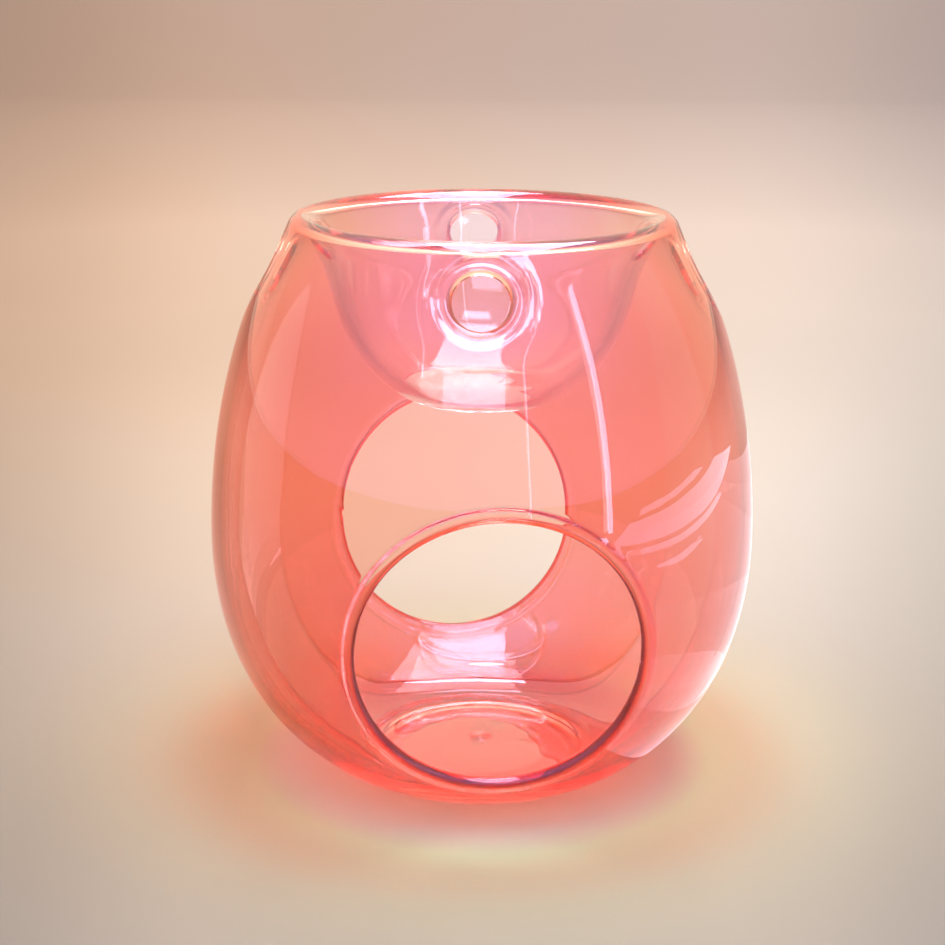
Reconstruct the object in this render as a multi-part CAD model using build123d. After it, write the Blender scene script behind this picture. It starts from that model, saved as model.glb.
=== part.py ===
from build123d import *
import os
from math import cos, radians, sin

# A blown-glass wax burner: an egg-shaped shell with a bowl fused inside its mouth.
# +Z is up and the origin is the centre of the foot. The front vent faces -Y.
# Every length is in millimetres. Every turn is in degrees, anticlockwise from -Y seen from above.

# Driving dimensions
height = 112.0
belly_radius = 54.0
belly_height = 48.5
shell_wall = 2.0
dish_wall = 2.0

# Rolled rim: the shell turns over at the crest and the bowl is fused to it along a short seam
crest_radius = 35.0
roll_radius = 3.2
shell_roll_angle = 30.0
dish_roll_angle = 160.0
seam_depth = 2.1
crotch_radius = 1.2

# Points that the egg's outside passes, as radius and height: below the belly, then above it
low_stations = [(36.9, 6.9), (45.9, 17.5)]
high_stations = [(50.7, 78.0), (45.3, 95.5)]

# Foot: a narrow flat land round a shallow push-up with a dimple in its middle
land_inner_radius = 21.4
land_outer_radius = 23.4
land_slope = 0.12
floor_edge_height = 2.8
floor_sag = 0.25
floor_sag_radius = 11.5
push_up = 1.5
dimple_radius = 2.8
dimple_height = 0.8

# Bowl, and the points that its underside passes, from the rim down
dish_floor_height = 75.6
dish_floor_radius = 12.5
dish_floor_dip = 0.3
dish_floor_slope = 0.1
dish_stations = [(30.5, 101.0), (28.2, 93.0), (23.9, 84.0), (18.2, 78.3)]

# Openings: clear sizes, heights of their centres, and turns
front_width = 52.6
front_height = 55.4
front_turn = 4.6
rear_width = 51.6
rear_height = 52.0
rear_turn = 188.4
opening_centre = 38.2
vent_diameter = 10.6
vent_centre = 102.9
vent_radius_out = 41.85
vent_lean = 27.0
vent_turns = [0.0, 90.0, 183.4, 270.0]

# Fire-polished edge of every opening, and the turn of the seam of the turned surfaces, clear of them all
edge_round = 0.85
surface_seam_turn = 50.0


def xz(radius, z):
    """A point or a direction in the section plane, from its radius and height."""
    return Vector(radius, 0, z)


def stations(pairs):
    """Points in the section plane from pairs of radius and height."""
    return [xz(radius, z) for radius, z in pairs]


def on_circle(centre, radius, angle):
    """The point of a circle in the section plane, its angle measured from outwards to up."""
    return centre + xz(cos(radians(angle)), sin(radians(angle))) * radius


def beside(edge, distance, count):
    """Points at even steps along an edge, each the given distance to its left."""
    points = []
    for step in range(count):
        along = step / (count - 1)
        tangent = edge % along
        points.append((edge @ along) + xz(-tangent.Z, tangent.X) * distance)
    return points


def turned(edges):
    """The solid that a closed outline sweeps round Z."""
    solid = revolve(make_face(edges), axis=Axis.Z)
    return solid.rotate(Axis.Z, surface_seam_turn - 90)


roll_centre = xz(crest_radius, height - roll_radius)
crest = xz(crest_radius, height)
seam_foot = xz(crest_radius, height - seam_depth)
crotch_centre = seam_foot - xz(0, crotch_radius)
radially = xz(1, 0)
upwards = xz(0, 1)


def shell_section():
    """The egg's section: outside from the land to the crest, then the inside back to the axis."""
    land_start = xz(land_inner_radius, 0)
    land_end = xz(land_outer_radius, 0)
    belly = xz(belly_radius, belly_height)
    roll_start = on_circle(roll_centre, roll_radius, shell_roll_angle)
    at_roll = on_circle(Vector(), 1, shell_roll_angle + 90)
    at_land = xz(1, land_slope)
    low_points = [land_end, *stations(low_stations), belly]
    high_points = [belly, *stations(high_stations), roll_start]
    outside_low = Spline(*low_points, tangents=[at_land, upwards])
    outside_high = Spline(*high_points, tangents=[upwards, at_roll])
    roll = TangentArc(roll_start, crest, tangent=at_roll)
    seam = Line(crest, seam_foot)

    crotch_start = on_circle(crotch_centre, crotch_radius, shell_roll_angle)
    crotch = TangentArc(crotch_start, seam_foot, tangent=at_roll)
    inner_high_points = beside(outside_high, shell_wall, 7)
    inside_high = Spline(*inner_high_points[:-1], crotch_start, tangents=[upwards, at_roll])
    floor_edge = xz(land_inner_radius, floor_edge_height)
    inner_low_points = beside(outside_low, shell_wall, 7)
    inside_low = Spline(floor_edge, *inner_low_points[1:], tangents=[at_land, upwards])

    floor_middle = xz(0, push_up + shell_wall)
    floor_sag_point = xz(floor_sag_radius, push_up + shell_wall - floor_sag)
    floor_top = Spline(floor_middle, floor_sag_point, floor_edge, tangents=[radially, at_land])
    land = Line(land_start, land_end)
    dimple_edge = xz(dimple_radius, push_up)
    dimple_top = xz(0, push_up + dimple_height)
    under_sag_point = xz(floor_sag_radius, push_up - floor_sag)
    underside = Spline(dimple_edge, under_sag_point, land_start, tangents=[radially, xz(1, -floor_sag)])
    dimple = Spline(dimple_top, dimple_edge, tangents=[radially, radially])
    middle = Line(dimple_top, floor_middle)
    outside = [outside_low, outside_high, roll, seam]
    inside = [crotch, inside_high, inside_low, floor_top]
    return outside + inside + [land, underside, dimple, middle]


def dish_section():
    """The bowl's section: its underside from the seam down, and its inside up to the crest."""
    roll_end = on_circle(roll_centre, roll_radius, dish_roll_angle)
    at_roll = on_circle(Vector(), 1, dish_roll_angle + 90)
    crotch_end = on_circle(crotch_centre, crotch_radius, dish_roll_angle)
    floor_edge = xz(dish_floor_radius, dish_floor_height)
    floor_middle = xz(0, dish_floor_height - dish_floor_dip)
    at_floor = xz(-1, -dish_floor_slope)
    crotch = TangentArc(seam_foot, crotch_end, tangent=-radially)
    underside = Spline(crotch_end, *stations(dish_stations), floor_edge, tangents=[at_roll, at_floor])
    floor_under = Spline(floor_edge, floor_middle, tangents=[at_floor, -radially])

    inside_points = beside(underside, -dish_wall, 9)
    inside = Spline(roll_end, *inside_points[1:], tangents=[at_roll, at_floor])
    inner_middle = xz(0, inside_points[-1].Z - dish_floor_dip)
    floor_inside = Spline(inside_points[-1], inner_middle, tangents=[at_floor, -radially])
    middle = Line(floor_middle, inner_middle)
    roll = TangentArc(crest, roll_end, tangent=-radially)
    seam = Line(crest, seam_foot)
    return [crotch, underside, floor_under, middle, floor_inside, inside, roll, seam]


def facing(turn, lean, distance, z):
    """A plane that looks outwards at a turn, leaning up, the given distance from the axis."""
    out = Vector(sin(radians(turn)), -cos(radians(turn)), 0)
    side = Vector(cos(radians(turn)), sin(radians(turn)), 0)
    normal = out * cos(radians(lean)) + Vector(0, 0, sin(radians(lean)))
    return Plane(origin=out * distance + Vector(0, 0, z), x_dir=side, z_dir=normal)


def opening_tool(turn, width, tall):
    """The bar that cuts one tealight opening through the wall on its side of the axis."""
    outline = facing(turn, 0, 0, opening_centre) * Ellipse(width / 2, tall / 2)
    return extrude(outline, amount=belly_radius * 1.2)


def vent_tool(turn):
    """The bar that cuts one vent square to the sloping wall."""
    outline = facing(turn, vent_lean, vent_radius_out, vent_centre) * Circle(vent_diameter / 2)
    return extrude(outline, amount=shell_wall * 2.5, both=True)


def make_outer_shell():
    """The egg with its two tealight openings and four vents, every edge melted round."""
    egg = turned(shell_section())
    tools = [vent_tool(turn) for turn in vent_turns]
    tools.append(opening_tool(front_turn, front_width, front_height))
    tools.append(opening_tool(rear_turn, rear_width, rear_height))
    for tool in tools:
        cut = egg - tool
        egg = fillet(new_edges(egg, tool, combined=cut), edge_round)
    return egg


parts = {"outer_shell": make_outer_shell(), "dish": turned(dish_section())}

os.makedirs("parts", exist_ok=True)
for name, part in parts.items():
    part.label = name
    export_step(part, f"parts/{name}.step")
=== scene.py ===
import math

import bpy
import numpy as np
from mathutils import Matrix, Vector


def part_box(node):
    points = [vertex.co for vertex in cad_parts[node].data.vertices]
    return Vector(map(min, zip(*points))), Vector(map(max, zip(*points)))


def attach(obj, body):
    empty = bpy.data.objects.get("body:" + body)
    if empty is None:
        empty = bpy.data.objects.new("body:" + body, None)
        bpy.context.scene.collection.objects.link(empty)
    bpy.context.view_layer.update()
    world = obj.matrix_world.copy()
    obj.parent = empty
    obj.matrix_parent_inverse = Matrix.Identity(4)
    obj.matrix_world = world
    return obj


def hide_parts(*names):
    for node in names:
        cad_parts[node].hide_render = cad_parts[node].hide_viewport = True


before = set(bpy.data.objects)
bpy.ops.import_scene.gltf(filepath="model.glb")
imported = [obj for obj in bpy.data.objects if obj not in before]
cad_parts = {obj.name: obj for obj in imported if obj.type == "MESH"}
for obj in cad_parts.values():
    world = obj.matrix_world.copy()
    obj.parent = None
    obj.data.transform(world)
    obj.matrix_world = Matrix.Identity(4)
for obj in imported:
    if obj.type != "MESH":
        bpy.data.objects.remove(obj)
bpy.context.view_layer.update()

# A blown-glass wax burner: a coated egg of glass with a clear bowl fused into its rolled rim.
# Lengths are in metres. Outlines are rows of (radius, height). Turns are in degrees from -Y, anticlockwise
# from above, as in the CAD model.

_, shell_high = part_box("outer_shell")
dish_low, dish_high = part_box("dish")

MM = 0.001
HEIGHT = shell_high[2]
BELLY = shell_high[0]
CREST = dish_high[0]
DISH_FLOOR = dish_low[2] + 0.3 * MM
CLEARANCE = 0.05 * MM

# The egg's outside
BELLY_HEIGHT = 0.433 * HEIGHT
LOW_STATIONS = [(0.683 * BELLY, 0.0616 * HEIGHT), (0.850 * BELLY, 0.1563 * HEIGHT)]
HIGH_STATIONS = [(0.939 * BELLY, 0.6964 * HEIGHT), (0.839 * BELLY, 0.8527 * HEIGHT)]
LAND_INNER = 0.396 * BELLY
LAND_OUTER = 0.433 * BELLY
LAND_SLOPE = 0.12
PUSH_UP = 1.5 * MM
DIMPLE_RADIUS = 2.8 * MM
DIMPLE_HEIGHT = 0.8 * MM
SAG_RADIUS = 11.5 * MM
SAG = 0.25 * MM

# Glass thickness
WALL = 2.0 * MM
DISH_WALL = 2.0 * MM
FLOOR_EDGE = 2.8 * MM

# The rolled rim
ROLL_RADIUS = 3.2 * MM
SHELL_ROLL_ANGLE = 30
DISH_ROLL_ANGLE = 160
SEAM_DEPTH = 2.1 * MM
SEAM_GAP = 0.01 * MM
CROTCH_RADIUS = 1.2 * MM

# The bowl's underside, from the rim down
DISH_FLOOR_RADIUS = 12.5 * MM
DISH_DROP = HEIGHT - DISH_FLOOR
DISH_STATIONS = [
    (0.871 * CREST, HEIGHT - 0.302 * DISH_DROP),
    (0.806 * CREST, HEIGHT - 0.522 * DISH_DROP),
    (0.683 * CREST, HEIGHT - 0.769 * DISH_DROP),
    (0.520 * CREST, HEIGHT - 0.926 * DISH_DROP),
]

# Openings: clear half sizes, turns and centre heights, and how much coat gathers on a lip
LIP = 1.15 * MM
OPENING_CENTRE = 0.341 * HEIGHT
VENT_CENTRE = 0.919 * HEIGHT
VENT_RADIUS = 5.3 * MM
TEALIGHT_OPENINGS = [
    {"turn": 4.6, "half_width": 26.3 * MM, "half_height": 27.7 * MM, "gather": 1.0},
    {"turn": 188.4, "half_width": 25.8 * MM, "half_height": 26.0 * MM, "gather": 0.5},
]
VENT_TURNS = [0.0, 90.0, 183.4, 270.0]

# Unevenness of the blown wall, which dies away near the rim and the foot, and its random seeds
SHELL_WAVES = 0.03 * MM
WALL_WAVES = 0.015 * MM
BOWL_WAVES = 0.05 * MM
CALM_BELOW_RIM = 12 * MM
CALM_ABOVE_FOOT = 18 * MM
SHELL_SEED, WALL_SEED, BOWL_SEED = 3, 8, 21

# The melted bead round a tealight opening: how wide, how much thicker and how far out
BEAD_START = 0.5 * MM
BEAD_WIDTH = 0.8 * MM
BEAD_THICKER = 0.60 * MM
BEAD_OUT = 0.04 * MM

# The wall round a vent: a thicker lip in a shallow dent, with a low ring round it and fine waves
VENT_LIP_WIDTH = 0.9 * MM
VENT_LIP_THICKER = 0.3 * MM
DENT = 0.75 * MM
DENT_PLACE, DENT_WIDTH = 0.6 * MM, 2.6 * MM
SWELL = 0.28 * MM
SWELL_PLACE, SWELL_WIDTH = 2.2 * MM, 0.8 * MM
VENT_WAVES = 0.03 * MM
VENT_WAVE_LENGTH, VENT_WAVE_REACH = 1.35 * MM, 3.5 * MM
VENT_FADE = 4 * MM
VENT_GATHER = 0.0

# Mesh density, and the shares of the way from a window's edge to its opening where the fan's rings lie
AROUND = 300
FAN_SHARES = [0.86, 0.72, 0.58, 0.46, 0.36, 0.28, 0.215, 0.165]
FAN_SHARES += [0.125, 0.095, 0.07, 0.05, 0.033, 0.018, 0.006, 0.0]
LIP_STEPS = 14

# Windows cut in the mesh for the openings: half width in degrees, and low and high edges
OPENING_WINDOW = (41, 3.4 * MM, 74 * MM)
VENT_WINDOW_HALF_TURN = 15.5
VENT_WINDOW_BELOW, VENT_WINDOW_ABOVE = 11.5 * MM, 9.2 * MM


def unit(vector):
    """The vector at length one."""
    vector = np.array(vector, float)
    return vector / np.linalg.norm(vector)


def direction(angle):
    """A direction in the section plane, its angle measured from outwards to up."""
    return np.array([math.cos(math.radians(angle)), math.sin(math.radians(angle))])


def smooth_line(points, start, end, count):
    """Even steps along a cubic spline through points, with its end directions given."""
    p = np.array(points, float)
    lengths = np.linalg.norm(np.diff(p, axis=0), axis=1)
    at = np.concatenate([[0], np.cumsum(lengths)])
    size = len(p)
    matrix = np.eye(size)
    slopes = np.zeros((size, 2))
    slopes[0], slopes[-1] = unit(start), unit(end)
    for i in range(1, size - 1):
        before, after = lengths[i - 1], lengths[i]
        matrix[i, i - 1 : i + 2] = after, 2 * (before + after), before
        rise = after * (p[i] - p[i - 1]) / before + before * (p[i + 1] - p[i]) / after
        slopes[i] = 3 * rise
    slopes = np.linalg.solve(matrix, slopes)
    u = np.linspace(0, at[-1], count)
    k = np.clip(np.searchsorted(at, u, "right") - 1, 0, size - 2)
    h = lengths[k][:, None]
    t = (u - at[k])[:, None] / h
    return (
        (2 * t**3 - 3 * t**2 + 1) * p[k]
        + (t**3 - 2 * t**2 + t) * h * slopes[k]
        + (3 * t**2 - 2 * t**3) * p[k + 1]
        + (t**3 - t**2) * h * slopes[k + 1]
    )


def arc(centre, radius, start, end, count):
    """Points of a circular arc in the section plane, between two angles."""
    angles = np.radians(np.linspace(start, end, count))
    return np.array(centre) + radius * np.stack([np.cos(angles), np.sin(angles)], axis=1)


def left_of(line):
    """The unit normal to the left of each point of a line."""
    tangent = np.gradient(line, axis=0)
    tangent /= np.linalg.norm(tangent, axis=1)[:, None]
    return np.stack([-tangent[:, 1], tangent[:, 0]], axis=1)


def smooth_step(x):
    """0 up to 0, 1 from 1, and a smooth rise between."""
    x = np.clip(x, 0, 1)
    return x * x * (3 - 2 * x)


# ---------------------------------------------------------------- sections

ROLL_CENTRE = np.array([CREST, HEIGHT - ROLL_RADIUS])
CROTCH_CENTRE = np.array([CREST, HEIGHT - SEAM_DEPTH - CROTCH_RADIUS])


def shell_section():
    """The shell's outside and inside as matching points, from the axis under the foot to the crest."""
    at_land = (1, LAND_SLOPE)
    at_roll = direction(SHELL_ROLL_ANGLE + 90)
    belly = (BELLY, BELLY_HEIGHT)
    dimple_edge = (DIMPLE_RADIUS, PUSH_UP)
    dimple = smooth_line([(0, PUSH_UP + DIMPLE_HEIGHT), dimple_edge], (1, 0), (1, 0), 9)
    sag_point = (SAG_RADIUS, PUSH_UP - SAG)
    under = smooth_line([dimple_edge, sag_point, (LAND_INNER, 0)], (1, 0), (1, -0.25), 30)
    land = np.linspace((LAND_INNER, 0), (LAND_OUTER, 0), 5)
    base = np.concatenate([dimple[:-1], under[:-1], land[:-1]])
    low = smooth_line([(LAND_OUTER, 0), *LOW_STATIONS, belly], at_land, (0, 1), 56)
    roll_start = ROLL_CENTRE + ROLL_RADIUS * direction(SHELL_ROLL_ANGLE)
    high = smooth_line([belly, *HIGH_STATIONS, roll_start], (0, 1), at_roll, 60)
    roll = arc(ROLL_CENTRE, ROLL_RADIUS, SHELL_ROLL_ANGLE, 90, 24)

    floor_middle = (0, PUSH_UP + WALL + 0.1 * MM)
    floor_sag = (SAG_RADIUS, PUSH_UP + WALL - SAG)
    floor = smooth_line([floor_middle, floor_sag, (LAND_INNER, FLOOR_EDGE)], (1, 0), at_land, 200)
    base_inside = np.stack([base[:, 0], np.interp(base[:, 0], floor[:, 0], floor[:, 1])], axis=1)
    thick = WALL + (FLOOR_EDGE - WALL) * (1 - smooth_step(np.linspace(0, 3, len(low))))
    low_inside = low + left_of(low) * thick[:, None]
    high_inside = high + left_of(high) * WALL
    crotch = arc(CROTCH_CENTRE, CROTCH_RADIUS, SHELL_ROLL_ANGLE, 90, len(roll))
    pull = smooth_step(np.linspace(-3, 1, len(high)))[:, None]
    high_inside += pull * (crotch[0] - high_inside[-1])
    outside = np.concatenate([base, low, high[1:], roll[1:]])
    inside = np.concatenate([base_inside, low_inside, high_inside[1:], crotch[1:]])
    return outside, inside


def dish_section():
    """The bowl's closed outline, from its underside on the axis, over the rim, to its inside floor."""
    at_roll = direction(DISH_ROLL_ANGLE + 90)
    at_floor = (-1, -0.1)
    crotch = arc(CROTCH_CENTRE, CROTCH_RADIUS, 90, DISH_ROLL_ANGLE, 10)
    floor_edge = (DISH_FLOOR_RADIUS, DISH_FLOOR)
    underside = smooth_line([crotch[-1], *DISH_STATIONS, floor_edge], at_roll, at_floor, 60)
    floor_under = smooth_line([floor_edge, (0, DISH_FLOOR - 0.3 * MM)], at_floor, (-1, 0), 14)
    inner_points = underside - left_of(underside) * DISH_WALL
    roll = arc(ROLL_CENTRE, ROLL_RADIUS, 90, DISH_ROLL_ANGLE, 26)
    inside = smooth_line([roll[-1], *inner_points[6::6], inner_points[-1]], at_roll, at_floor, 70)
    floor_edge_in = inner_points[-1]
    floor_in = smooth_line([floor_edge_in, (0, floor_edge_in[1] - 0.3 * MM)], at_floor, (-1, 0), 14)
    line = np.concatenate([floor_under[::-1], underside[::-1][1:], crotch[::-1][1:], roll])
    return np.concatenate([line, inside[1:], floor_in[1:]])


# ---------------------------------------------------------------- the shell's surface

OUTSIDE, INSIDE = shell_section()
ALONG = np.concatenate([[0], np.cumsum(np.linalg.norm(np.diff(OUTSIDE, axis=0), axis=1))])
WALL_START = np.argmax(OUTSIDE[:, 1] > 1 * MM)


def along_at(z):
    """How far along the outside line the wall reaches a height."""
    return np.interp(z, OUTSIDE[WALL_START:, 1], ALONG[WALL_START:])


def section_at(s):
    """Outside and inside points of the section at distances along it."""
    out = np.stack([np.interp(s, ALONG, OUTSIDE[:, i]) for i in (0, 1)], axis=-1)
    inner = np.stack([np.interp(s, ALONG, INSIDE[:, i]) for i in (0, 1)], axis=-1)
    return out, inner


def turn_difference(turn, centre):
    """turn less centre in radians, brought within half a turn."""
    return (turn - centre + math.pi) % (2 * math.pi) - math.pi


def opening_distance(turn, s, hole):
    """Distance from a tealight opening's lip line, for points of the wall."""
    out, inner = section_at(s)
    middle = (out + inner) / 2
    x = middle[..., 0] * np.sin(turn_difference(turn, hole["turn"]))
    z = middle[..., 1] - OPENING_CENTRE
    reach = np.hypot(x, z)
    q = np.hypot(x / hole["width"], z / hole["tall"])
    facing = np.abs(turn_difference(turn, hole["turn"])) < math.pi / 2
    return np.where(facing, reach * (1 - 1 / np.maximum(q, 1e-6)), 1.0)


def vent_distance(turn, s, centre):
    """Distance from a vent's axis along the wall."""
    out, inner = section_at(s)
    across = (out[..., 0] + inner[..., 0]) / 2 * turn_difference(turn, centre)
    return np.hypot(across, s - along_at(VENT_CENTRE))


def ripple(turn, s, seed):
    """The slow unevenness of hand-blown glass, between about -1 and 1."""
    rng = np.random.default_rng(seed)
    total = np.zeros(np.broadcast(turn, s).shape)
    for waves, length in ((2, 0.11), (3, 0.07), (5, 0.05), (7, 0.035), (11, 0.028)):
        phase = rng.uniform(0, 2 * math.pi, 2)
        total += np.cos(waves * turn + phase[0]) * np.cos(2 * math.pi * s / length + phase[1]) / 2.2
    return total


OPENINGS = [
    {
        "turn": math.radians(o["turn"]),
        "width": o["half_width"] + LIP,
        "tall": o["half_height"] + LIP,
        "gather": o["gather"],
    }
    for o in TEALIGHT_OPENINGS
]
VENTS = [math.radians(turn) for turn in VENT_TURNS]
FULL = ALONG[-1]


def bump(gap, place, width):
    """1 where the gap equals the place, falling off over the width on both sides."""
    return np.exp(-(((gap - place) / width) ** 2))


def shell_points(turn, s):
    """Outside and inside points in space, at turns and distances along."""
    turn, s = np.broadcast_arrays(np.asarray(turn, float), np.asarray(s, float))
    out, inner = section_at(s)
    through = out - inner
    through /= np.linalg.norm(through, axis=-1)[..., None]
    calm = smooth_step((FULL - s) / CALM_BELOW_RIM) * smooth_step((s - along_at(2 * MM)) / CALM_ABOVE_FOOT)
    push = -CLEARANCE + SHELL_WAVES * ripple(turn, s, SHELL_SEED) * calm
    thicker = WALL_WAVES * ripple(turn, s, WALL_SEED) * calm
    for hole in OPENINGS:
        bead = 1 - smooth_step((opening_distance(turn, s, hole) - BEAD_START) / BEAD_WIDTH)
        thicker = thicker + BEAD_THICKER * bead
        push = push + BEAD_OUT * bead
    fade = smooth_step((FULL - s) / VENT_FADE)
    for centre in VENTS:
        gap = vent_distance(turn, s, centre) - VENT_RADIUS - LIP
        thicker = thicker + VENT_LIP_THICKER * bump(gap, 0, VENT_LIP_WIDTH)
        waves = np.cos(2 * math.pi * gap / VENT_WAVE_LENGTH) * bump(gap, 0, VENT_WAVE_REACH)
        dent = DENT * bump(gap, DENT_PLACE, DENT_WIDTH) - SWELL * bump(gap, SWELL_PLACE, SWELL_WIDTH)
        push = push - fade * (dent - VENT_WAVES * waves)
    out = out + through * push[..., None]
    inner = inner + through * (push - thicker)[..., None]
    ring = np.stack([np.sin(turn), -np.cos(turn)], axis=-1)

    def in_space(point):
        return np.concatenate([ring * point[..., :1], point[..., 1:]], axis=-1)

    return in_space(out), in_space(inner)


def hole_line(hole, angle):
    """Turn and distance along of a tealight opening's lip line, at angles round it."""
    z = OPENING_CENTRE + hole["tall"] * np.sin(angle)
    s = along_at(z)
    out, inner = section_at(s)
    radius = (out[..., 0] + inner[..., 0]) / 2
    return hole["turn"] + np.arcsin(hole["width"] * np.cos(angle) / radius), s


def vent_line(centre, angle):
    """Turn and distance along of a vent's lip line, at angles round it."""
    reach = VENT_RADIUS + LIP
    s = along_at(VENT_CENTRE) + reach * np.sin(angle)
    out, inner = section_at(s)
    radius = (out[..., 0] + inner[..., 0]) / 2
    return centre + reach * np.cos(angle) / radius, s


class MeshMaker:
    """Gathers points, their coat and faces, then makes one closed mesh object."""

    def __init__(self):
        self.points, self.coats, self.faces, self.joined, self.count = [], [], [], [], 0

    def add(self, points, coat):
        """Add points with their coat, and give back their numbers."""
        points = np.asarray(points).reshape(-1, 3)
        coat = np.broadcast_to(np.asarray(coat, float).ravel(), (len(points),))
        self.points.append(points)
        self.coats.append(coat)
        self.count += len(points)
        return np.arange(self.count - len(points), self.count)

    def quads(self, a, b, c, d, joined=False):
        """Add faces between four rows of point numbers; joined ones lie on the fused seam."""
        self.faces.append(np.stack([a, b, c, d], axis=-1).reshape(-1, 4))
        self.joined.append(np.full(len(self.faces[-1]), joined))

    def build(self, name):
        """The mesh object, with sharp edges round its fused seam and smooth faces."""
        points, coats = np.concatenate(self.points), np.concatenate(self.coats)
        faces = np.concatenate(self.faces)
        used = np.unique(faces)
        number = np.full(len(points), -1)
        number[used] = np.arange(len(used))
        mesh = bpy.data.meshes.new(name)
        faces = [tuple(dict.fromkeys(face)) for face in number[faces].tolist()]
        mesh.from_pydata(points[used].tolist(), [], faces)
        joined = np.concatenate(self.joined)
        attribute = mesh.attributes.new("coat", "FLOAT", "POINT")
        attribute.data.foreach_set("value", coats[used].astype(np.float32))
        attribute = mesh.attributes.new("joined", "FLOAT", "FACE")
        attribute.data.foreach_set("value", joined.astype(np.float32))
        mesh.polygons.foreach_set("use_smooth", [True] * len(mesh.polygons))
        at_join = {key for i in np.flatnonzero(joined) for key in mesh.polygons[i].edge_keys}
        mesh.edges.foreach_set("use_edge_sharp", [edge.key in at_join for edge in mesh.edges])
        piece = bpy.data.objects.new(name, mesh)
        bpy.context.scene.collection.objects.link(piece)
        return piece


def make_shell():
    """The egg: a grid of rows and columns, with a fan of rings fitted round each opening."""
    maker = MeshMaker()
    rows = ALONG[1:]
    columns = np.arange(AROUND) * 2 * math.pi / AROUND
    turn, s = np.meshgrid(columns, rows)
    out, inner = shell_points(turn, s)
    outer_ids = maker.add(out, 1).reshape(turn.shape)
    inner_ids = maker.add(inner, 0).reshape(turn.shape)
    open_cells = np.zeros((len(rows) - 1, AROUND), bool)

    half, low, high = OPENING_WINDOW
    opening_s = along_at(OPENING_CENTRE)
    windows = [
        (hole["turn"], half, opening_s, along_at(low), along_at(high), hole["gather"], hole_line, hole)
        for hole in OPENINGS
    ]
    vent_s = along_at(VENT_CENTRE)
    low_s, high_s = vent_s - VENT_WINDOW_BELOW, vent_s + VENT_WINDOW_ABOVE
    half = VENT_WINDOW_HALF_TURN
    windows += [(centre, half, vent_s, low_s, high_s, VENT_GATHER, vent_line, centre) for centre in VENTS]

    for centre, half_turn, middle_s, low_s, high_s, gather, line, which in windows:
        first = round((centre - math.radians(half_turn)) / (2 * math.pi) * AROUND)
        last = round((centre + math.radians(half_turn)) / (2 * math.pi) * AROUND)
        bottom = int(np.argmin(np.abs(rows - low_s)))
        top = int(np.argmin(np.abs(rows - high_s)))
        wide = np.arange(first, last + 1)
        tall = np.arange(bottom, top + 1)
        open_cells[np.ix_(np.arange(bottom, top), np.arange(first, last) % AROUND)] = True
        right, left = np.full(len(tall) - 1, last), np.full(len(tall) - 1, first)
        floor, roof = np.full(len(wide) - 1, bottom), np.full(len(wide) - 1, top)
        edge_columns = np.concatenate([wide[:-1], right, wide[:0:-1], left])
        edge_rows = np.concatenate([floor, tall[:-1], roof, tall[:0:-1]])
        edge_turn = edge_columns * 2 * math.pi / AROUND
        edge_s = rows[edge_rows]
        aspect = (rows[top] - rows[bottom]) / 2 / math.radians(half_turn)
        angle = np.arctan2((edge_s - middle_s) / aspect, edge_turn - centre)
        hole_turn, hole_s = line(which, angle)
        outer_ring = outer_ids[edge_rows, edge_columns % AROUND]
        inner_ring = inner_ids[edge_rows, edge_columns % AROUND]
        for share in FAN_SHARES:
            ring_turn = hole_turn + (edge_turn - hole_turn) * share
            ring_s = hole_s + (edge_s - hole_s) * share
            out, inner = shell_points(ring_turn, ring_s)
            new_outer, new_inner = maker.add(out, 1), maker.add(inner, 0)
            join_rings(maker, outer_ring, new_outer)
            join_rings(maker, new_inner, inner_ring)
            outer_ring, inner_ring = new_outer, new_inner
            if share == FAN_SHARES[-2]:
                before = (out + inner) / 2
        lip_centre = (out + inner) / 2
        across = (out - inner) / 2
        towards = lip_centre - before
        towards -= across * (np.sum(towards * across, axis=1) / np.sum(across**2, axis=1))[:, None]
        towards *= (np.linalg.norm(across, axis=1) / np.linalg.norm(towards, axis=1))[:, None]
        for step in range(1, LIP_STEPS):
            bend = math.pi * step / LIP_STEPS
            ring = lip_centre + across * math.cos(bend) + towards * math.sin(bend)
            new_outer = maker.add(ring, 1 + gather * math.sin(bend) ** 3)
            join_rings(maker, outer_ring, new_outer)
            outer_ring = new_outer
        join_rings(maker, outer_ring, inner_ring)

    for j in range(len(rows) - 1):
        i = np.flatnonzero(~open_cells[j])
        k = (i + 1) % AROUND
        maker.quads(outer_ids[j, i], outer_ids[j, k], outer_ids[j + 1, k], outer_ids[j + 1, i])
        maker.quads(inner_ids[j, k], inner_ids[j, i], inner_ids[j + 1, i], inner_ids[j + 1, k])
    join_rings(maker, outer_ids[-1], inner_ids[-1], joined=True)
    close_with_point(maker, OUTSIDE[0, 1], np.roll(outer_ids[0], -1), outer_ids[0], coat=1)
    close_with_point(maker, INSIDE[0, 1], inner_ids[0], np.roll(inner_ids[0], -1))
    return maker.build("glass_shell")


def join_rings(maker, first, second, joined=False):
    """Quads between two closed rings of the same number of points."""
    maker.quads(first, np.roll(first, -1), np.roll(second, -1), second, joined)


def close_with_point(maker, z, ring, following, coat=0):
    """Triangles from a point on the axis to a ring of points."""
    poles = np.full(len(ring), maker.add([(0, 0, z)], coat)[0])
    maker.quads(poles, ring, following, poles)


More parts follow.
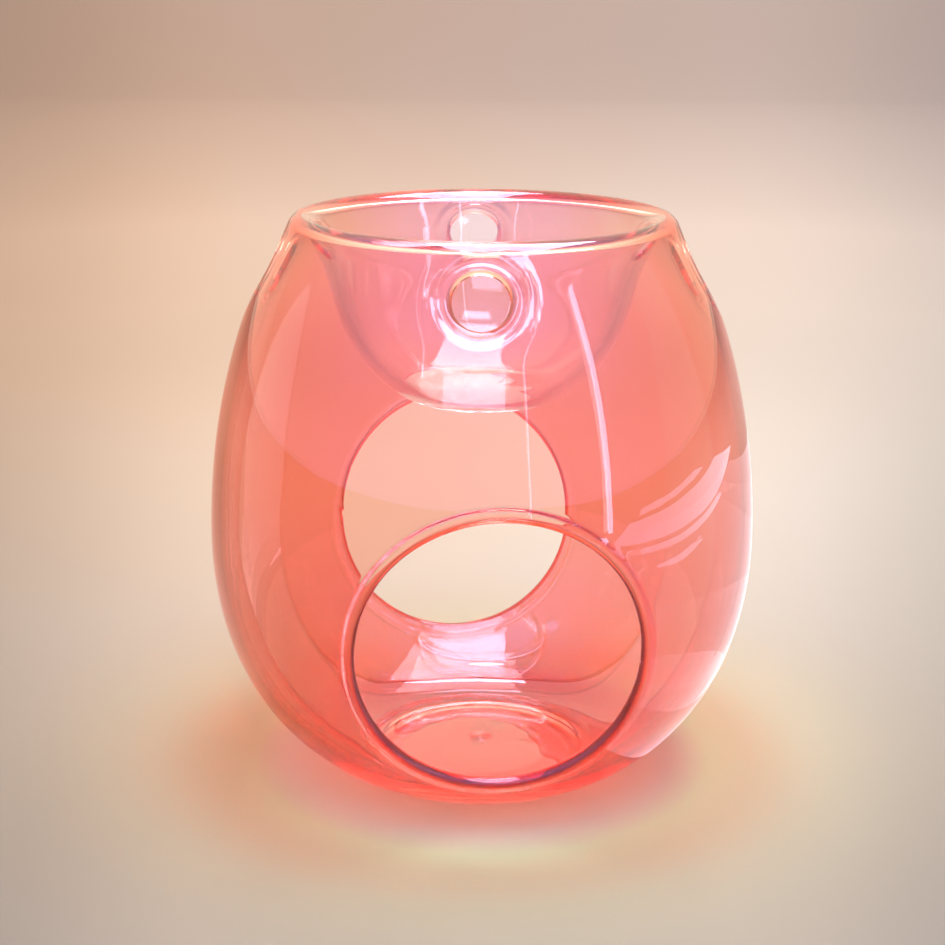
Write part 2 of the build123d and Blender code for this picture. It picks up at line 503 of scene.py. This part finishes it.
def make_dish():
    """The bowl: its closed outline turned round the axis, a little uneven inside."""
    maker = MeshMaker()
    line = dish_section() - (0, CLEARANCE)
    line[:, 0] = np.minimum(line[:, 0], CREST - SEAM_GAP)
    along = np.concatenate([[0], np.cumsum(np.linalg.norm(np.diff(line, axis=0), axis=1))])
    columns = np.arange(AROUND) * 2 * math.pi / AROUND
    turn, s = np.meshgrid(columns, along[1:-1])
    calm = smooth_step((CREST - 4 * MM - line[1:-1, 0]) / (4 * MM)) * smooth_step(line[1:-1, 0] / (22 * MM))
    push = BOWL_WAVES * ripple(turn, s, BOWL_SEED) * calm[:, None]
    left = left_of(line)[1:-1]
    section = line[1:-1, None, :] + left[:, None, :] * push[..., None]
    radius, z = section[..., 0], section[..., 1]
    points = np.stack([np.sin(turn) * radius, -np.cos(turn) * radius, z], axis=-1)
    ids = maker.add(points, 0).reshape(turn.shape)
    at_seam = line[1:-1, 0] > CREST - 2 * SEAM_GAP
    for j in range(len(ids) - 1):
        join_rings(maker, ids[j], ids[j + 1], joined=at_seam[j] and at_seam[j + 1])
    close_with_point(maker, line[0, 1], np.roll(ids[0], -1), ids[0])
    close_with_point(maker, line[-1, 1], ids[-1], np.roll(ids[-1], -1))
    return maker.build("glass_bowl")


# ---------------------------------------------------------------- materials

# Noise is given as its scale and detail
GLASS_IOR = 1.47
SMEAR_NOISE = (60, 3)
RIPPLE_NOISE = (45, 1)
CLOUD_NOISE = (28, 4)
CLEAR_NOISE = (20, 2)
PINK_ROUGHNESS, CLEAR_ROUGHNESS = 0.012, 0.01
SPECULAR_TINT = (0.68, 0.66, 1.0, 1)
RIPPLE_STRENGTH = 0.05
RIPPLE_DISTANCE = 0.3 * MM
PINK_VOLUME, PINK_DENSITY = (0.95, 0.30, 0.15), 30
CLEAR_VOLUME, CLEAR_DENSITY = (0.88, 0.78, 0.82), 50
CLEAR_STOPS = [(0.3, (0.985, 0.965, 0.97)), (0.7, (1.0, 0.99, 0.985))]

# The coat's colour by its depth, from thin to gathered, and what adds to the depth
COAT_DEEPEST = 3.0
COAT_STOPS = [
    (0.05, (1.0, 0.45, 0.36)),
    (0.20, (1.0, 0.31, 0.23)),
    (0.38, (1.0, 0.21, 0.14)),
    (0.62, (1.0, 0.11, 0.08)),
    (0.85, (0.45, 0.02, 0.03)),
    (1.00, (0.15, 0.02, 0.035)),
]
FOOT_SHARE = 0.3
DOWNWARD_SHARE = 1.0
CLOUD_SHARE = 0.3
# Painted shade: the rear crest gets a much deeper coat, for the dark red band the far rim shows when seen
# edge-on.
PAINTED_FAR_RIM_SHADE_SHARE = 2.2
GATHERED_SHARE = 3.0

# Where the depth changes: from front to rear, below the middle, under the rim, at the crest (painted shade
# on the far rim) and at the foot
REAR_REACH = 0.7 * BELLY
DOWNWARD_START = 0.4 * HEIGHT
UPPER_BAND, UPPER_SHARES = (0.75 * HEIGHT, 0.92 * HEIGHT), (1.0, 0.3)
CREST_BAND = (HEIGHT - 3.5 * MM, HEIGHT - 1.5 * MM)
FOOT_BAND = (7 * MM, 2 * MM)


def node_material(name):
    """A material with a Principled shader, and its tree and shader."""
    material = bpy.data.materials.new(name)
    material.use_nodes = True
    tree = material.node_tree
    return material, tree, tree.nodes["Principled BSDF"]


def add_node(tree, kind, **values):
    """A node with its properties set."""
    node = tree.nodes.new(kind)
    for key, value in values.items():
        setattr(node, key, value)
    return node


def maths(tree, operation, *values):
    """A node's sum, product or the like, of numbers and of other nodes' outputs."""
    node = add_node(tree, "ShaderNodeMath", operation=operation)
    for socket, value in zip(node.inputs, values):
        if isinstance(value, (int, float)):
            socket.default_value = value
        else:
            tree.links.new(value, socket)
    return node.outputs["Value"]


def noise(tree, scale, detail, coordinates):
    """Noise in object space."""
    node = add_node(tree, "ShaderNodeTexNoise")
    node.inputs["Scale"].default_value = scale
    node.inputs["Detail"].default_value = detail
    tree.links.new(coordinates, node.inputs["Vector"])
    return node.outputs["Fac"]


def ramp(tree, factor, stops, interpolation="LINEAR"):
    """A colour ramp of (place, colour) stops."""
    node = add_node(tree, "ShaderNodeValToRGB")
    node.color_ramp.interpolation = interpolation
    elements = node.color_ramp.elements
    while len(elements) < len(stops):
        elements.new(0.5)
    for element, (place, colour) in zip(elements, stops):
        element.position = place
        element.color = (*colour, 1)
    tree.links.new(factor, node.inputs["Fac"])
    return node.outputs["Color"]


def greys(stops):
    """Stops of grey values as stops of colours."""
    return [(place, (value, value, value)) for place, value in stops]


def spread(tree, value, low, high, to_low, to_high):
    """A value's range mapped to another."""
    node = add_node(tree, "ShaderNodeMapRange")
    for key, number in zip(("From Min", "From Max", "To Min", "To Max"), (low, high, to_low, to_high)):
        node.inputs[key].default_value = number
    tree.links.new(value, node.inputs["Value"])
    return node.outputs["Result"]


def glass(name, roughness):
    """Borosilicate glass with faint smears and ripples, ready for a colour."""
    material, tree, shader = node_material(name)
    shader.inputs["Transmission Weight"].default_value = 1.0
    shader.inputs["Specular IOR Level"].default_value = 1.0
    shader.inputs["Specular Tint"].default_value = SPECULAR_TINT
    # Light goes straight through the faces where the two pieces are fused together.
    fused = add_node(tree, "ShaderNodeAttribute", attribute_name="joined").outputs["Fac"]
    tree.links.new(spread(tree, fused, 0.0, 1.0, GLASS_IOR, 1.0), shader.inputs["IOR"])
    where = add_node(tree, "ShaderNodeTexCoord").outputs["Object"]
    smears = noise(tree, *SMEAR_NOISE, where)
    tree.links.new(spread(tree, smears, 0.35, 0.75, 0.0, roughness), shader.inputs["Roughness"])
    ripples = add_node(tree, "ShaderNodeBump")
    ripples.inputs["Strength"].default_value = RIPPLE_STRENGTH
    ripples.inputs["Distance"].default_value = RIPPLE_DISTANCE
    tree.links.new(noise(tree, *RIPPLE_NOISE, where), ripples.inputs["Height"])
    tree.links.new(ripples.outputs["Normal"], shader.inputs["Normal"])
    return material, tree, shader, where


def absorb(tree, colour, density):
    """Colour that deepens with the thickness of the glass."""
    volume = add_node(tree, "ShaderNodeVolumeAbsorption")
    volume.inputs["Color"].default_value = (*colour, 1)
    volume.inputs["Density"].default_value = density
    output = next(n for n in tree.nodes if n.type == "OUTPUT_MATERIAL")
    tree.links.new(volume.outputs["Volume"], output.inputs["Volume"])


def coated_glass():
    """Pink glass with a lustre coat where the coat attribute says, deeper towards the rear and the foot,
    with painted shade darkening the rear crest.
    """
    material, tree, shader, where = glass("pink_lustre_glass", PINK_ROUGHNESS)
    place = add_node(tree, "ShaderNodeSeparateXYZ")
    tree.links.new(where, place.inputs["Vector"])
    cloud = noise(tree, *CLOUD_NOISE, where)
    rearwards = spread(tree, place.outputs["Y"], -REAR_REACH, REAR_REACH, 0.0, 1.0)
    downwards = spread(tree, place.outputs["Z"], DOWNWARD_START, 0.0, 0.0, 1.0)
    # Painted shade: the coat deepens along the rear crest to darken the far rim.
    crest = spread(tree, place.outputs["Z"], *CREST_BAND, 0.0, 1.0)
    painted_far_rim_shade = maths(tree, "MULTIPLY", rearwards, crest)
    below_rim = spread(tree, place.outputs["Z"], *UPPER_BAND, *UPPER_SHARES)
    depth = maths(tree, "MULTIPLY", rearwards, below_rim)
    coat = add_node(tree, "ShaderNodeAttribute", attribute_name="coat").outputs["Fac"]
    gathered = spread(tree, coat, 1.0, 2.0, 0.0, 1.0)
    foot = spread(tree, place.outputs["Z"], *FOOT_BAND, 0.0, 1.0)
    for value, share in (
        (foot, FOOT_SHARE),
        (downwards, DOWNWARD_SHARE),
        (cloud, CLOUD_SHARE),
        (painted_far_rim_shade, PAINTED_FAR_RIM_SHADE_SHARE),
        (gathered, GATHERED_SHARE),
    ):
        depth = maths(tree, "MULTIPLY_ADD", value, share, depth)
    tint = ramp(tree, spread(tree, depth, 0.0, COAT_DEEPEST, 0.0, 1.0), COAT_STOPS)
    mix = add_node(tree, "ShaderNodeMix", data_type="RGBA")
    mix.inputs[6].default_value = (1, 1, 1, 1)
    tree.links.new(coat, mix.inputs[0])
    tree.links.new(tint, mix.inputs[7])
    tree.links.new(mix.outputs[2], shader.inputs["Base Color"])
    absorb(tree, PINK_VOLUME, PINK_DENSITY)
    return material


def clear_glass():
    """The bowl's clear glass, with the faintest warm drift."""
    material, tree, shader, where = glass("clear_bowl_glass", CLEAR_ROUGHNESS)
    tint = ramp(tree, noise(tree, *CLEAR_NOISE, where), CLEAR_STOPS)
    tree.links.new(tint, shader.inputs["Base Color"])
    absorb(tree, CLEAR_VOLUME, CLEAR_DENSITY)
    return material


# ---------------------------------------------------------------- the pieces

shell = make_shell()
bowl = make_dish()
pink = coated_glass()
clear = clear_glass()
for piece, material, node, slot in (
    (shell, pink, "outer_shell", "pink_glass"),
    (bowl, clear, "dish", "clear_glass"),
):
    piece.data.materials.append(material)
    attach(piece, "root")
    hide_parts(node)

# ---------------------------------------------------------------- stage, lights and camera

# The floor's colours drift towards tan along one direction, and its brightness is painted light and shade,
# the product of four
# falls: a painted pool round a point behind the object, painted shade from front to rear, a painted shadow
# round the object itself, and painted shade to the sides.
FLOOR_RADIUS = 14.0
FLOOR_SIDES = 96
FLOOR_ROUGHNESS = 0.8
FLOOR_SPECULAR = 0.1
PATCH_NOISE = (2.6, 3)
SQUEEZE_START = 0.35
DRIFT_NOISE = 0.5
DRIFT_RANGE = (-0.6, 0.4)
FLOOR_STOPS = [(0.0, (1.0, 0.70, 0.42)), (0.5, (1.0, 0.83, 0.61)), (1.0, (1.0, 0.91, 0.73))]
TAN_SIDE = (1.5, -0.55, 0.0)
# Painted light and shade: the floor is darker round a point just behind the object and lighter far off,
# standing in for the fall of the lights.
PAINTED_LIGHT_CENTRE = (0.0, 0.15, 0.0)
PAINTED_LIGHT_REACH = 1.2
PAINTED_LIGHT_STOPS = [
    (0.0, 0.54),
    (0.05, 0.53),
    (0.09, 0.51),
    (0.18, 0.45),
    (0.30, 0.56),
    (0.5, 0.78),
    (1.0, 1.0),
]
# Painted light and shade from front to rear: the floor's brightness along its depth, in place of the
# lights' fall.
PAINTED_SHADE_ROWS = (-0.1, 1.6)
PAINTED_SHADE_ROW_STOPS = [
    (0.01, 0.27),
    (0.06, 0.35),
    (0.12, 0.41),
    (0.17, 0.45),
    (0.24, 0.55),
    (0.35, 0.49),
    (0.54, 0.46),
    (0.94, 0.36),
]
# Painted shade: the floor is made darker towards the left and right.
PAINTED_SIDE_SHADE_START = 0.42
PAINTED_SIDE_SHADE_REACH = 0.25
PAINTED_SIDE_SHADE_STOPS = [(0.0, 1.0), (0.5, 1.0), (0.66, 0.93), (0.8, 0.83), (0.94, 0.74), (1.0, 0.72)]
# A painted shadow round the foot, standing in for the tinted light and shade the pink glass casts: paler
# close to the foot, then a darker orange ring, then plain.
PAINTED_SHADOW_RING_REACH = 0.12
PAINTED_SHADOW_RING_STOPS = [
    (0.30, (0.92, 1.50, 1.15)),
    (0.38, (0.84, 1.05, 0.78)),
    (0.46, (0.80, 0.66, 0.50)),
    (0.56, (0.74, 0.76, 0.64)),
    (0.72, (0.68, 0.68, 0.64)),
    (0.90, (0.67, 0.67, 0.67)),
]

# The world's light in front of the object and behind it, and its strengths low down and overhead
SKY_IN_FRONT = (1.05, 0.95, 1.45, 1)
SKY_BEHIND = (0.85, 0.74, 0.56, 1)
SKY_STRENGTHS = (1.2, 2.9)
SKY_FRONT_TO_REAR = (-0.5, 0.5)
SKY_RISE = (0.2, 0.8)

MIDDLE = (0, 0, HEIGHT / 2)


def round_the_middle(turn, rise, distance):
    """A point at a turn and angle of elevation from the object's middle."""
    t, e = math.radians(turn), math.radians(rise)
    flat = distance * math.cos(e)
    return (flat * math.sin(t), -flat * math.cos(t), MIDDLE[2] + distance * math.sin(e))


# Softboxes: name, place, the point each one faces, size and radiance
SOFTBOX_COLOUR = (1.0, 0.97, 1.0)
SOFTBOXES = [
    ("key_softbox", (0.10, -0.02, 0.75), (0.10, -0.02, 0.0), (0.46, 0.84), 22.0),
    ("near_softbox", (0.10, -0.64, 0.75), (0.10, -0.64, 0.0), (0.34, 0.16), 18.0),
    ("front_softbox", round_the_middle(-3, 24, 0.75), MIDDLE, (0.34, 0.12), 5.0),
    ("strip_softbox", round_the_middle(51, 17.5, 0.55), MIDDLE, (0.025, 0.48), 12.0),
    ("right_edge_softbox", round_the_middle(19.5, 30, 0.80), MIDDLE, (0.010, 1.0), 8.0),
    ("left_edge_softbox", round_the_middle(-27, 45, 0.80), MIDDLE, (0.010, 0.6), 8.0),
]

# Thin lilac panels just over the floor to the right, facing up and turned a little off the line
# from the object: turn, distance, size and radiance
LOW_BLADES = [
    (74, 0.25, (0.20, 0.02), 3.5),
    (86, 0.33, (0.34, 0.03), 3.5),
    (90, 0.50, (0.60, 0.25), 3.5),
    (84, 0.80, (0.50, 0.16), 3.5),
    (97, 0.22, (0.24, 0.30), 0.9),
    (97, 0.22, (0.34, 0.36), 0.75),
    (99, 0.27, (0.44, 0.42), 0.65),
]
BLADE_LIFT = 2 * MM
BLADE_SKEW = -12
LILAC = (0.95, 0.85, 1.0)
FACE_UP = Matrix.Rotation(math.pi, 3, "X").to_quaternion()

# The camera: its distance and height in belly radii, its turn round the object, and where it aims
CAMERA_DISTANCE = 6.83 * BELLY
CAMERA_HEIGHT = 3.06 * BELLY
CAMERA_TURN = 0.47
CAMERA_ROLL = 0.27
AIM = (-0.0345 * BELLY, 1.112 * BELLY)
FIELD_OF_VIEW = 27.65


def stage_floor():
    """A wide pale floor, with a soft warm drift in its colour and painted light and shade in its
    brightness.
    """
    mesh = bpy.data.meshes.new("floor")
    turns = [2 * math.pi * i / FLOOR_SIDES for i in range(FLOOR_SIDES)]
    corners = [(FLOOR_RADIUS * math.cos(t), FLOOR_RADIUS * math.sin(t), 0) for t in turns]
    mesh.from_pydata(corners, [], [range(FLOOR_SIDES)])
    floor = bpy.data.objects.new("floor", mesh)
    bpy.context.scene.collection.objects.link(floor)
    material, tree, shader = node_material("pale_floor")
    shader.inputs["Roughness"].default_value = FLOOR_ROUGHNESS
    shader.inputs["Specular IOR Level"].default_value = FLOOR_SPECULAR
    where = add_node(tree, "ShaderNodeTexCoord").outputs["Object"]
    reach = add_node(tree, "ShaderNodeVectorMath", operation="DISTANCE")
    reach.inputs[1].default_value = PAINTED_LIGHT_CENTRE
    tree.links.new(where, reach.inputs[0])
    # Distances are squeezed towards the horizon, so that the drift is as soft there as near the object.
    squeezed = add_node(tree, "ShaderNodeVectorMath", operation="DIVIDE")
    tree.links.new(where, squeezed.inputs[0])
    tree.links.new(maths(tree, "ADD", reach.outputs["Value"], SQUEEZE_START), squeezed.inputs[1])
    slant = add_node(tree, "ShaderNodeVectorMath", operation="DOT_PRODUCT")
    slant.inputs[1].default_value = TAN_SIDE
    tree.links.new(squeezed.outputs["Vector"], slant.inputs[0])
    patches = noise(tree, *PATCH_NOISE, squeezed.outputs["Vector"])
    drift = maths(tree, "MULTIPLY_ADD", patches, DRIFT_NOISE, slant.outputs["Value"])
    tint = ramp(tree, spread(tree, drift, *DRIFT_RANGE, 0.0, 1.0), FLOOR_STOPS)
    place = add_node(tree, "ShaderNodeSeparateXYZ")
    tree.links.new(where, place.inputs["Vector"])
    from_axis = add_node(tree, "ShaderNodeVectorMath", operation="LENGTH")
    tree.links.new(where, from_axis.inputs[0])
    # Painted shade: towards the left and right the floor is made darker along straight lines that meet in
    # front of the object.
    run = maths(tree, "ADD", place.outputs["Y"], PAINTED_SIDE_SHADE_START)
    aside = maths(tree, "ABSOLUTE", maths(tree, "DIVIDE", place.outputs["X"], run))
    # The painted pool, the painted front-to-rear shade, the painted shadow round the foot and the painted
    # side shade are multiplied into the colour in turn.
    for value, low, high, stops in (
        (reach.outputs["Value"], 0.0, PAINTED_LIGHT_REACH, greys(PAINTED_LIGHT_STOPS)),
        (place.outputs["Y"], *PAINTED_SHADE_ROWS, greys(PAINTED_SHADE_ROW_STOPS)),
        (from_axis.outputs["Value"], 0.0, PAINTED_SHADOW_RING_REACH, PAINTED_SHADOW_RING_STOPS),
        (aside, 0.0, PAINTED_SIDE_SHADE_REACH, greys(PAINTED_SIDE_SHADE_STOPS)),
    ):
        factor = ramp(tree, spread(tree, value, low, high, 0.0, 1.0), stops, "B_SPLINE")
        mix = add_node(tree, "ShaderNodeMix", data_type="RGBA", blend_type="MULTIPLY")
        mix.inputs[0].default_value = 1.0
        tree.links.new(tint, mix.inputs[6])
        tree.links.new(factor, mix.inputs[7])
        tint = mix.outputs[2]
    tree.links.new(tint, shader.inputs["Base Color"])
    mesh.materials.append(material)


def area_light(name, place, target, size, radiance, colour):
    """A rectangular softbox aimed at a point, out of the camera's sight."""
    data = bpy.data.lights.new(name, "AREA")
    data.shape = "RECTANGLE"
    data.size, data.size_y = size
    data.energy = radiance * math.pi * size[0] * size[1]
    data.color = colour
    light = bpy.data.objects.new(name, data)
    light.location = place
    light.rotation_mode = "QUATERNION"
    light.rotation_quaternion = (Vector(target) - Vector(place)).to_track_quat("-Z", "Y")
    light.visible_camera = False
    bpy.context.scene.collection.objects.link(light)
    return light


def studio():
    """Soft world light, brighter overhead, softboxes overhead and in front, and the panels at the right."""
    world = bpy.data.worlds.new("studio")
    bpy.context.scene.world = world
    world.use_nodes = True
    tree = world.node_tree
    towards = add_node(tree, "ShaderNodeSeparateXYZ")
    tree.links.new(add_node(tree, "ShaderNodeTexCoord").outputs["Generated"], towards.inputs["Vector"])
    sky = add_node(tree, "ShaderNodeMix", data_type="RGBA")
    tree.links.new(spread(tree, towards.outputs["Y"], *SKY_FRONT_TO_REAR, 0.0, 1.0), sky.inputs[0])
    sky.inputs[6].default_value, sky.inputs[7].default_value = SKY_IN_FRONT, SKY_BEHIND
    tree.links.new(sky.outputs[2], tree.nodes["Background"].inputs["Color"])
    strength = spread(tree, towards.outputs["Z"], *SKY_RISE, *SKY_STRENGTHS)
    tree.links.new(strength, tree.nodes["Background"].inputs["Strength"])
    for name, place, target, size, radiance in SOFTBOXES:
        area_light(name, place, target, size, radiance, SOFTBOX_COLOUR)
    for i, (turn, distance, size, radiance) in enumerate(LOW_BLADES):
        place = Vector(round_the_middle(turn, 0, distance)) - Vector(MIDDLE) + Vector((0, 0, BLADE_LIFT))
        blade = area_light(f"low_blade_{i + 1}", place, place + Vector((0, 0, 1)), size, radiance, LILAC)
        blade.visible_transmission = False
        facing = Matrix.Rotation(math.radians(turn + BLADE_SKEW), 3, "Z").to_quaternion()
        blade.rotation_quaternion = facing @ FACE_UP


def make_camera():
    """The camera, looking down at the front."""
    data = bpy.data.cameras.new("camera")
    data.sensor_width = 36
    data.lens = data.sensor_width / 2 / math.tan(math.radians(FIELD_OF_VIEW / 2))
    camera = bpy.data.objects.new("camera", data)
    turned = Matrix.Rotation(math.radians(CAMERA_TURN), 3, "Z")
    place = turned @ Vector((0, -CAMERA_DISTANCE, CAMERA_HEIGHT))
    aim = turned @ Vector((AIM[0], 0, AIM[1]))
    look = (aim - place).to_track_quat("-Z", "Y").to_matrix()
    camera.rotation_mode = "QUATERNION"
    camera.rotation_quaternion = (look @ Matrix.Rotation(math.radians(CAMERA_ROLL), 3, "Z")).to_quaternion()
    camera.location = place
    bpy.context.scene.collection.objects.link(camera)
    bpy.context.scene.camera = camera


stage_floor()
studio()
make_camera()
bpy.context.scene.view_settings.view_transform = "Standard"

# Light is followed all the way along the walls of the glass, and through it to the floor without blurring.
cycles = bpy.context.scene.cycles
BOUNCES = 64
cycles.max_bounces = BOUNCES
cycles.transmission_bounces = BOUNCES
cycles.glossy_bounces = BOUNCES
cycles.blur_glossy = 0
